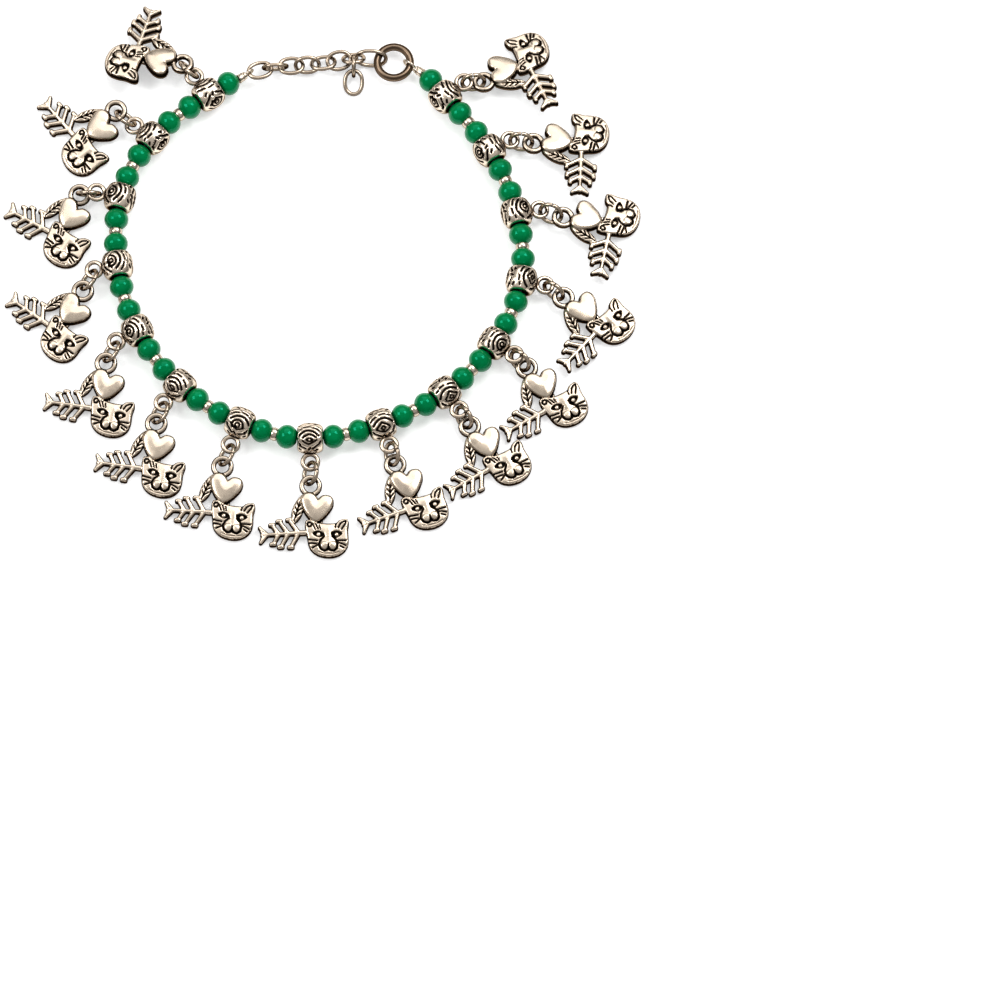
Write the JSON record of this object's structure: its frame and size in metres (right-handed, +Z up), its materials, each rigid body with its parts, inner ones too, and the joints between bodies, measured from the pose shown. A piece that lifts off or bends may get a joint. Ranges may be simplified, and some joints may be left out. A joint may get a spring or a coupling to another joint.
{
  "type": "payal anklet",
  "caption": "Charm anklet laid in a closed loop: green glass beads, cast silver barrel beads, cat, heart and fishbone charms on jump rings, and a link chain with a round ring clasp.",
  "frame": {"origin": "centre of the bounding box on the surface it lies on, z = 0", "axes": "+Z up from the surface the anklet lies on, +X to the picture's right, +Y towards the clasp chain"},
  "size_m": [0.131, 0.1214, 0.0066],
  "materials": {
    "green_glass": "opaque glass, glossy",
    "antique_silver": "antique silver plate, satin, dark in the recesses",
    "bright_silver": "silver plate, polished",
    "dark_bronze": "dark bronze, satin"
  },
  "bodies": {
    "root": {"bead_strand": "green_glass", "bail_bead_01": "antique_silver", "bail_bead_02": "antique_silver", "bail_bead_03": "antique_silver", "bail_bead_04": "antique_silver", "bail_bead_05": "antique_silver", "bail_bead_06": "antique_silver", "bail_bead_07": "antique_silver", "bail_bead_08": "antique_silver", "bail_bead_09": "antique_silver", "bail_bead_10": "antique_silver", "bail_bead_11": "antique_silver", "bail_bead_12": "antique_silver", "bail_bead_13": "antique_silver", "bail_bead_14": "antique_silver", "bail_bead_15": "antique_silver", "charm_01": "antique_silver", "charm_02": "antique_silver", "charm_03": "antique_silver", "charm_04": "antique_silver", "charm_05": "antique_silver", "charm_06": "antique_silver", "charm_07": "antique_silver", "charm_08": "antique_silver", "charm_09": "antique_silver", "charm_10": "antique_silver", "charm_11": "antique_silver", "charm_12": "antique_silver", "charm_13": "antique_silver", "charm_14": "antique_silver", "charm_15": "antique_silver", "jump_ring_01": "antique_silver", "jump_ring_02": "antique_silver", "jump_ring_03": "antique_silver", "jump_ring_04": "antique_silver", "jump_ring_05": "antique_silver", "jump_ring_06": "antique_silver", "jump_ring_07": "antique_silver", "jump_ring_08": "antique_silver", "jump_ring_09": "antique_silver", "jump_ring_10": "antique_silver", "jump_ring_11": "antique_silver", "jump_ring_12": "antique_silver", "jump_ring_13": "antique_silver", "jump_ring_14": "antique_silver", "jump_ring_15": "antique_silver", "crimp_left": "bright_silver", "crimp_right": "bright_silver", "chain_link_1": "antique_silver", "chain_link_2": "antique_silver", "chain_link_3": "antique_silver", "chain_link_4": "antique_silver", "chain_link_5": "antique_silver", "chain_link_6": "antique_silver", "knot_link": "antique_silver", "hook_link": "antique_silver", "clasp_ring": "dark_bronze", "tail_link": "antique_silver", "end_link": "antique_silver"}
  },
  "joints": []
}
